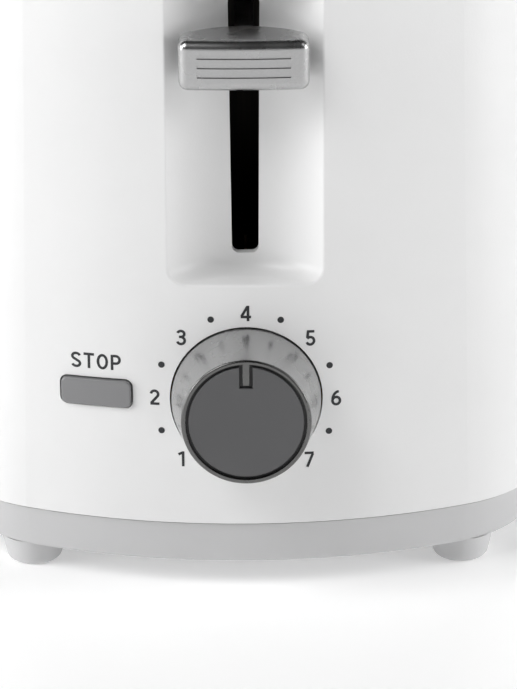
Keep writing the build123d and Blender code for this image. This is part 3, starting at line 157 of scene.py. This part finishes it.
def tinted(tree, pattern, dark, light):
    """A colour from dark to light, following a pattern."""
    ramp = tree.nodes.new("ShaderNodeValToRGB")
    ramp.color_ramp.elements[0].position = PATTERN_LOW
    ramp.color_ramp.elements[1].position = PATTERN_HIGH
    ramp.color_ramp.elements[0].color = (*dark, 1)
    ramp.color_ramp.elements[1].color = (*light, 1)
    tree.links.new(pattern, ramp.inputs["Fac"])
    return ramp.outputs["Color"]


def bumped(tree, shader, pattern, depth):
    """Raises the surface by a pattern, depth in metres."""
    bump = tree.nodes.new("ShaderNodeBump")
    bump.inputs["Distance"].default_value = depth
    tree.links.new(pattern, bump.inputs["Height"])
    tree.links.new(bump.outputs["Normal"], shader.inputs["Normal"])


def shades(colour, spread):
    """A darker and a lighter shade of a colour."""
    return tuple(c * (1 - spread) for c in colour), tuple(min(1.0, c * (1 + spread)) for c in colour)


# ---------------------------------------------------------------- materials
def moulded(name, colour, roughness, grain=1800.0, depth=0.00002, spread=0.02, coat=0.0):
    """Moulded plastic: a fine spark-eroded grain, with faint flow marks in its colour and sheen."""
    material, tree, shader, where = new_material(name)
    flow = noise(tree, where, scale=22.0, detail=4.0)
    tree.links.new(tinted(tree, flow, *shades(colour, spread)), shader.inputs["Base Color"])
    rub = noise(tree, where, scale=70.0, detail=5.0)
    tree.links.new(between(tree, rub, roughness * 0.88, roughness * 1.12), shader.inputs["Roughness"])
    bumped(tree, shader, noise(tree, where, scale=grain, detail=2.0), depth)
    shader.inputs["Coat Weight"].default_value = coat
    shader.inputs["Coat Roughness"].default_value = COAT_ROUGHNESS
    return material


def metallic_paint(name, colour, roughness):
    """Silver-painted plastic: fine flakes and a slightly uneven sheen."""
    material, tree, shader, where = new_material(name)
    flakes = noise(tree, where, scale=5200.0, detail=2.0)
    tree.links.new(tinted(tree, flakes, *shades(colour, spread=0.10)), shader.inputs["Base Color"])
    haze = noise(tree, where, scale=90.0, detail=4.0)
    tree.links.new(between(tree, haze, roughness * 0.85, roughness * 1.15), shader.inputs["Roughness"])
    bumped(tree, shader, flakes, depth=0.000004)
    shader.inputs["Metallic"].default_value = 1.0
    return material


def dial_paint_with_face_shade(name, colour, face_shade_colour, roughness, centre, outwards, reach):
    """The same paint, but with painted shade: dark on a knob's front face, which is reach out from its centre,
    standing in for the dim room reflected there.
    """
    material = metallic_paint(name, colour, roughness)
    tree = material.node_tree
    shader = tree.nodes["Principled BSDF"]
    where = tree.nodes["Texture Coordinate"].outputs["Object"]
    height = tree.nodes.new("ShaderNodeVectorMath")
    height.operation = "DOT_PRODUCT"
    height.inputs[1].default_value = outwards
    tree.links.new(where, height.inputs[0])
    # painted shade mask: rises from 0 to 1 towards the knob's front face
    face = tree.nodes.new("ShaderNodeMapRange")
    level = centre.dot(outwards) + reach
    face.inputs["From Min"].default_value = level - FACE_START
    face.inputs["From Max"].default_value = level - FACE_FULL
    tree.links.new(height.outputs["Value"], face.inputs["Value"])
    # a fine grain in the painted shade colour of the face
    face_shade_grain = noise(tree, where, scale=3800.0, detail=3.0)
    mix = tree.nodes.new("ShaderNodeMixRGB")
    tree.links.new(face.outputs["Result"], mix.inputs["Fac"])
    tree.links.new(shader.inputs["Base Color"].links[0].from_socket, mix.inputs["Color1"])
    tree.links.new(tinted(tree, face_shade_grain, *shades(face_shade_colour, spread=0.08)), mix.inputs["Color2"])
    tree.links.new(mix.outputs["Color"], shader.inputs["Base Color"])
    return material


def brushed(name, colour, roughness, stretch):
    """Brushed steel: long fine scratches along one axis."""
    material, tree, shader, where = new_material(name)
    lines = noise(tree, where, scale=1400.0, detail=6.0, stretch=stretch)
    tree.links.new(tinted(tree, lines, *shades(colour, spread=0.07)), shader.inputs["Base Color"])
    tree.links.new(between(tree, lines, roughness * 0.8, roughness * 1.25), shader.inputs["Roughness"])
    bumped(tree, shader, lines, depth=0.000006)
    shader.inputs["Metallic"].default_value = 1.0
    return material


def galvanised(name, colour, roughness):
    """Zinc-coated sheet: dull grey spangles, a little uneven."""
    material, tree, shader, where = new_material(name)
    spangle = cells(tree, where, scale=160.0)
    tree.links.new(tinted(tree, spangle, *shades(colour, spread=0.12)), shader.inputs["Base Color"])
    cloud = noise(tree, where, scale=120.0, detail=5.0)
    tree.links.new(between(tree, cloud, roughness * 0.8, roughness * 1.2), shader.inputs["Roughness"])
    bumped(tree, shader, noise(tree, where, scale=900.0, detail=3.0), depth=0.000008)
    shader.inputs["Metallic"].default_value = 0.9
    return material


def wire(name, colour, roughness):
    """Drawn steel wire, straw-tinted in patches where it runs hot."""
    material, tree, shader, where = new_material(name)
    heat = noise(tree, where, scale=30.0, detail=3.0)
    straw = (colour[0], colour[1] * 0.94, colour[2] * 0.82)
    tree.links.new(tinted(tree, heat, straw, colour), shader.inputs["Base Color"])
    draw = noise(tree, where, scale=1500.0, detail=3.0)
    tree.links.new(between(tree, draw, roughness * 0.8, roughness * 1.3), shader.inputs["Roughness"])
    bumped(tree, shader, draw, depth=0.000004)
    shader.inputs["Metallic"].default_value = 1.0
    return material


def flaked(name, dark, light):
    """Mica board: pressed flakes, translucent brown and silvery."""
    material, tree, shader, where = new_material(name)
    flakes = cells(tree, where, scale=420.0)
    tree.links.new(tinted(tree, flakes, dark, light), shader.inputs["Base Color"])
    sheen = noise(tree, where, scale=300.0, detail=4.0)
    tree.links.new(between(tree, sheen, 0.3, 0.6), shader.inputs["Roughness"])
    bumped(tree, shader, noise(tree, where, scale=600.0, detail=4.0), depth=0.00002)
    return material


def oxidised(name, dark, light):
    """Resistance ribbon: brown-grey oxide with bare patches."""
    material, tree, shader, where = new_material(name)
    scale = noise(tree, where, scale=180.0, detail=6.0)
    tree.links.new(tinted(tree, scale, dark, light), shader.inputs["Base Color"])
    tree.links.new(between(tree, scale, 0.65, 0.4), shader.inputs["Roughness"])
    bumped(tree, shader, noise(tree, where, scale=1600.0, detail=3.0), depth=0.00001)
    shader.inputs["Metallic"].default_value = 0.6
    return material


def painted_shade_steel(name, dark, light, stretch):
    """Steel sheet painted near black as shade, in soft brown streaks."""
    material, tree, shader, where = new_material(name)
    streaks = noise(tree, where, scale=420.0, detail=3.0, stretch=stretch)
    tree.links.new(tinted(tree, streaks, dark, light), shader.inputs["Base Color"])
    tree.links.new(between(tree, streaks, 0.6, 0.45), shader.inputs["Roughness"])
    bumped(tree, shader, streaks, depth=0.000006)
    shader.inputs["Metallic"].default_value = 0.3
    return material


def wound(name, dark, light, turns):
    """Enamelled wire wound in level turns."""
    material, tree, shader, where = new_material(name)
    bands = tree.nodes.new("ShaderNodeTexWave")
    bands.bands_direction = "Z"
    bands.inputs["Scale"].default_value = turns
    bands.inputs["Distortion"].default_value = 0.4
    tree.links.new(where, bands.inputs["Vector"])
    tree.links.new(tinted(tree, bands.outputs["Fac"], dark, light), shader.inputs["Base Color"])
    tree.links.new(between(tree, noise(tree, where, scale=500.0), 0.25, 0.4), shader.inputs["Roughness"])
    bumped(tree, shader, bands.outputs["Fac"], depth=0.0001)
    shader.inputs["Metallic"].default_value = 0.5
    return material


def printed(name, colour):
    """Pad-printed ink: near black, thin and slightly uneven."""
    material, tree, shader, where = new_material(name)
    cover = noise(tree, where, scale=1500.0, detail=4.0)
    tree.links.new(tinted(tree, cover, *shades(colour, spread=0.25)), shader.inputs["Base Color"])
    tree.links.new(between(tree, cover, 0.4, 0.55), shader.inputs["Roughness"])
    bumped(tree, shader, cover, depth=0.000004)
    return material


def floor_material(name, colour):
    """A pale matte floor with a faint unevenness, which glows more where the lights don't reach."""
    material, tree, shader, where = new_material(name)
    cloud = noise(tree, where, scale=2.5, detail=3.0)
    tree.links.new(tinted(tree, cloud, *shades(colour, spread=0.01)), shader.inputs["Base Color"])
    tree.links.new(between(tree, cloud, 0.8, 0.9), shader.inputs["Roughness"])
    shader.inputs["Specular IOR Level"].default_value = 0.1
    shader.inputs["Emission Color"].default_value = (1, 1, 1, 1)
    distance = tree.nodes.new("ShaderNodeVectorMath")
    distance.operation = "LENGTH"
    tree.links.new(where, distance.inputs[0])
    glow = tree.nodes.new("ShaderNodeMapRange")
    glow.inputs["From Min"].default_value = NEAR_FLOOR
    glow.inputs["From Max"].default_value = FAR_FLOOR
    glow.inputs["To Min"].default_value = FLOOR_GLOW
    glow.inputs["To Max"].default_value = FAR_GLOW
    tree.links.new(distance.outputs["Value"], glow.inputs["Value"])
    tree.links.new(glow.outputs["Result"], shader.inputs["Emission Strength"])
    return material


# stretches a pattern along one axis
ALONG_Y = (1, 0.02, 1)
ALONG_Z = (1, 1, 0.02)
FINISHES = {
    "white_plastic": moulded("white_plastic", (0.84, 0.84, 0.84), 0.34),
    "grey_base_plastic": moulded("grey_base_plastic", (0.56, 0.56, 0.565), 0.42, grain=1500.0, depth=0.00003),
    "foot_plastic": moulded("foot_plastic", (0.60, 0.60, 0.605), 0.45, grain=1500.0, depth=0.00003),
    "silver_knob_plastic": metallic_paint("silver_knob_plastic", SILVER, SILVER_ROUGHNESS),
    "dark_cap_plastic": moulded(
        "dark_cap_plastic", (0.095, 0.095, 0.098), 0.42, grain=2600.0, spread=0.05
    ),
    "button_plastic": moulded(
        "button_plastic", (0.22, 0.22, 0.225), 0.32, grain=2200.0, spread=0.04, coat=0.2
    ),
    "stainless_steel": brushed("stainless_steel", (0.62, 0.62, 0.63), 0.26, ALONG_Y),
    "galvanised_steel": galvanised("galvanised_steel", (0.42, 0.42, 0.43), 0.42),
    "reflector_aluminised": brushed("reflector_aluminised", (0.66, 0.66, 0.67), 0.34, ALONG_Y),
    "spring_steel": wire("spring_steel", (0.58, 0.57, 0.56), 0.24),
    "mica": flaked("mica", (0.26, 0.19, 0.11), (0.46, 0.37, 0.25)),
    "resistance_alloy": oxidised("resistance_alloy", (0.10, 0.075, 0.06), (0.26, 0.22, 0.19)),
    "black_plastic": moulded(
        "black_plastic", (0.018, 0.018, 0.019), 0.45, grain=1700.0, depth=0.00003, spread=0.15
    ),
    "circuit_board": moulded(
        "circuit_board", (0.30, 0.17, 0.06), 0.5, grain=900.0, depth=0.00001, spread=0.12
    ),
    "copper_winding": wound("copper_winding", (0.25, 0.07, 0.02), (0.55, 0.22, 0.08), turns=600.0),
    "nylon": moulded("nylon", (0.70, 0.68, 0.61), 0.4, grain=1400.0, spread=0.03),
    "zinc_screw": wire("zinc_screw", (0.55, 0.55, 0.53), 0.35),
}
INK = printed("dial_ink", (0.022, 0.023, 0.026))

for part in frame["record"]["subparts"]:
    node = frame["nodes"][part["node"]]
    node.data.materials.clear()
    node.data.materials.append(FINISHES[part["material_slot"]])

# the two plates seen through the lever's slot, painted near black to stand in for the shade inside the slot
slot_shade_steel = painted_shade_steel("slot_shade_steel", (0.004, 0.003, 0.002), (0.03, 0.018, 0.01), ALONG_Z)
for name in ("carriage_plate", "front_end_plate"):
    frame["nodes"][name].data.materials[0] = slot_shade_steel


# ---------------------------------------------------------------- the printed dial
def shell_surface():
    """The outer shell's own surface, to lay the print on."""
    shell = frame["nodes"]["outer_shell"]
    return BVHTree.FromObject(shell, bpy.context.evaluated_depsgraph_get())


SHELL = shell_surface()
turn = next(j for j in frame["joints"] if j["name"] == "browning_knob_turn")
KNOB_CENTRE = Vector(turn["pos_m"])
INTO_PANEL = Vector(turn["axis"]).normalized()
UP_PANEL = Vector((1, 0, 0)).cross(-INTO_PANEL) * -1

knob = frame["nodes"]["browning_knob"]
# the knob's silver paint, with painted shade on its front face for the dim room it reflects
knob.data.materials[0] = dial_paint_with_face_shade(
    "silver_dial_face_shade", SILVER, PAINTED_SHADE_FACE, SILVER_ROUGHNESS, KNOB_CENTRE, -INTO_PANEL, KNOB_REACH
)


def arc(x, y, across, up, start, end):
    """Points along an elliptical arc, angles in degrees."""
    steps = max(4, int(abs(end - start) / ARC_STEP))
    turns = [math.radians(start + (end - start) * i / steps) for i in range(steps + 1)]
    return [(x + across * math.cos(a), y + up * math.sin(a)) for a in turns]


# Each character: its width, then the middle lines of its strokes, for a height of 1.
CHARACTERS = {
    "1": (0.42, [[(0.33, 0.0), (0.33, 1.0)], [(0.04, 0.79), (0.30, 0.92)]]),
    "2": (0.64, [arc(0.32, 0.70, 0.225, 0.228, 172, -38) + [(0.10, 0.11)], [(0.05, 0.072), (0.62, 0.072)]]),
    "3": (0.62, [
        arc(0.30, 0.735, 0.215, 0.193, 162, -90) + [(0.18, 0.542)],
        arc(0.30, 0.30, 0.235, 0.228, 80, -162),
    ]),
    "4": (0.68, [[(0.48, 0.0), (0.48, 1.0)], [(0.45, 0.95), (0.08, 0.31)], [(0.03, 0.27), (0.67, 0.27)]]),
    "5": (0.62, [
        [(0.57, 0.928), (0.18, 0.928), (0.135, 0.50)],
        arc(0.315, 0.315, 0.235, 0.243, 142, -158),
    ]),
    "6": (0.64, [arc(0.325, 0.315, 0.235, 0.243, 0, 360), arc(0.50, 0.33, 0.41, 0.6, 92, 172)]),
    "7": (0.62, [[(0.03, 0.928), (0.60, 0.928)], [(0.55, 0.88), (0.20, 0.0)]]),
    "S": (0.62, [arc(0.31, 0.735, 0.235, 0.193, 14, 250) + arc(0.31, 0.265, 0.24, 0.193, 70, -164)]),
    "T": (0.66, [[(0.0, 0.928), (0.66, 0.928)], [(0.33, 0.86), (0.33, 0.0)]]),
    "O": (0.70, [arc(0.35, 0.5, 0.275, 0.428, 0, 360)]),
    "P": (0.62, [
        [(0.09, 0.0), (0.09, 1.0)],
        [(0.15, 0.928)] + arc(0.34, 0.682, 0.225, 0.246, 90, -90) + [(0.15, 0.436)],
    ]),
}


def ribbon(line, width):
    """The two edges of a stroke that follows a line, mitred where it bends."""
    points = [Vector(p) for p in line]
    closed = (points[0] - points[-1]).length < 1e-6
    runs = [(b - a).normalized() for a, b in zip(points, points[1:])]
    left, right = [], []
    for i, point in enumerate(points):
        before = runs[i - 1] if i or closed else runs[0]
        after = runs[i] if i < len(runs) else (runs[0] if closed else runs[-1])
        along = (before + after).normalized()
        aside = Vector((-along.y, along.x)) * (width / 2 / max(MITRE_LIMIT, along.dot(after)))
        left.append(point + aside)
        right.append(point - aside)
    return left, right


def lay_on_shell(shapes, name):
    """One thin printed piece on the shell, from flat shapes drawn in the dial's plane round its centre."""
    corners, faces = [], []
    for points, shape_faces in shapes:
        faces += [[len(corners) + i for i in face] for face in shape_faces]
        for across, up in points:
            start = KNOB_CENTRE + Vector((across, 0, 0)) + UP_PANEL * up - INTO_PANEL * CAST_FROM
            hit = SHELL.ray_cast(start, INTO_PANEL)[0]
            corners.append(hit - INTO_PANEL * INK_LIFT)
    mesh = bpy.data.meshes.new(name)
    mesh.from_pydata(corners, [], faces)
    mesh.materials.append(INK)
    piece = bpy.data.objects.new(name, mesh)
    bpy.context.scene.collection.objects.link(piece)
    film = piece.modifiers.new("film", "SOLIDIFY")
    film.thickness = INK_DEPTH
    film.offset = -1
    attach(piece, "housing")


def text(word, height, across, up):
    """A word's shapes, its middle at a place in the dial's plane."""
    width = sum(CHARACTERS[c][0] for c in word) + LETTER_GAP * (len(word) - 1)
    shapes, x = [], -width / 2
    for c in word:
        for line in CHARACTERS[c][1]:
            left, right = ribbon(line, STROKE)
            points = [(across + (x + p.x) * height, up + (p.y - 0.5) * height) for p in left + right]
            n = len(left)
            shapes.append((points, [(n + i, n + i + 1, i + 1, i) for i in range(n - 1)]))
        x += CHARACTERS[c][0] + LETTER_GAP
    return shapes


def dot(across, up, sides=28):
    """A round dot's shape."""
    turns = [2 * math.pi * i / sides for i in range(sides)]
    points = [(across + DOT_RADIUS * math.cos(a), up + DOT_RADIUS * math.sin(a)) for a in turns]
    return points, [list(range(sides))]


def print_dial():
    """Numbers at even turns of the knob, with a dot half way between each two."""
    shapes = []
    for half_step in range(2 * DIAL_NUMBERS - 1):
        angle = -DIAL_SWEEP / 2 + DIAL_SWEEP * half_step / (2 * DIAL_NUMBERS - 2)
        angle += DIAL_TURN
        across, up = DIAL_ASIDE + DIAL_RADIUS * math.sin(angle), DIAL_RADIUS * math.cos(angle)
        if half_step % 2 == 0:
            shapes += text(str(half_step // 2 + 1), DIGIT_HEIGHT, across, up)
        else:
            shapes.append(dot(across, up))
    lay_on_shell(shapes, "dial_print")


def print_word():
    """The stop button's word, above it."""
    low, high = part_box("stop_button")
    across = (low.x + high.x) / 2 - KNOB_CENTRE.x
    up = high.z - KNOB_CENTRE.z + WORD_RISE
    lay_on_shell(text("STOP", WORD_HEIGHT, across, up), "stop_word")


print_dial()
print_word()


# ---------------------------------------------------------------- floor, lights and camera
def build_floor():
    """A wide, flat, pale floor, far larger than any view of the toaster."""
    turns = [2 * math.pi * i / FLOOR_SIDES for i in range(FLOOR_SIDES)]
    rim = [(FLOOR_RADIUS * math.cos(a), FLOOR_RADIUS * math.sin(a), 0.0) for a in turns]
    mesh = bpy.data.meshes.new("floor")
    mesh.from_pydata(rim, [], [list(range(FLOOR_SIDES))])
    mesh.materials.append(floor_material("floor", FLOOR_COLOUR))
    floor = bpy.data.objects.new("floor", mesh)
    bpy.context.scene.collection.objects.link(floor)


def softbox(name, azimuth, elevation, size, power):
    """A soft square light aimed at the control end, placed by its angles from straight ahead of it."""
    around, above = math.radians(azimuth), math.radians(elevation)
    level = math.cos(above)
    away = Vector((math.sin(around) * level, -math.cos(around) * level, math.sin(above)))
    light = bpy.data.lights.new(name, "AREA")
    light.size = size
    light.energy = power
    holder = bpy.data.objects.new(name, light)
    holder.location = LIT_POINT + away * LIGHT_DISTANCE
    holder.rotation_euler = (-away).to_track_quat("-Z", "Y").to_euler()
    bpy.context.scene.collection.objects.link(holder)


def light_scene():
    """A dim room with soft lights: two low ones at the sides, higher ones ahead and one behind."""
    world = bpy.data.worlds.new("surroundings")
    world.use_nodes = True
    world.node_tree.nodes["Background"].inputs["Color"].default_value = (1, 1, 1, 1)
    world.node_tree.nodes["Background"].inputs["Strength"].default_value = ROOM_LIGHT
    bpy.context.scene.world = world
    for light in SOFTBOXES:
        softbox(*light)
    bpy.context.scene.view_settings.view_transform = "Standard"


def place_camera():
    """The camera looks slightly down on the control end, from straight ahead."""
    data = bpy.data.cameras.new("camera")
    data.sensor_fit = "HORIZONTAL"
    data.sensor_width = SENSOR
    data.lens = LENS
    data.clip_end = CLIP_END
    camera = bpy.data.objects.new("camera", data)
    aim = KNOB_CENTRE + Vector((AIM_RIGHT, 0, AIM_ABOVE_KNOB))
    ahead = Vector((
        math.sin(AZIMUTH) * math.cos(ELEVATION),
        math.cos(AZIMUTH) * math.cos(ELEVATION),
        -math.sin(ELEVATION),
    ))
    camera.location = aim - ahead * DISTANCE
    camera.rotation_mode = "QUATERNION"
    camera.rotation_quaternion = ahead.to_track_quat("-Z", "Y") @ Quaternion((0, 0, 1), ROLL)
    bpy.context.scene.collection.objects.link(camera)
    bpy.context.scene.camera = camera


build_floor()
light_scene()
place_camera()
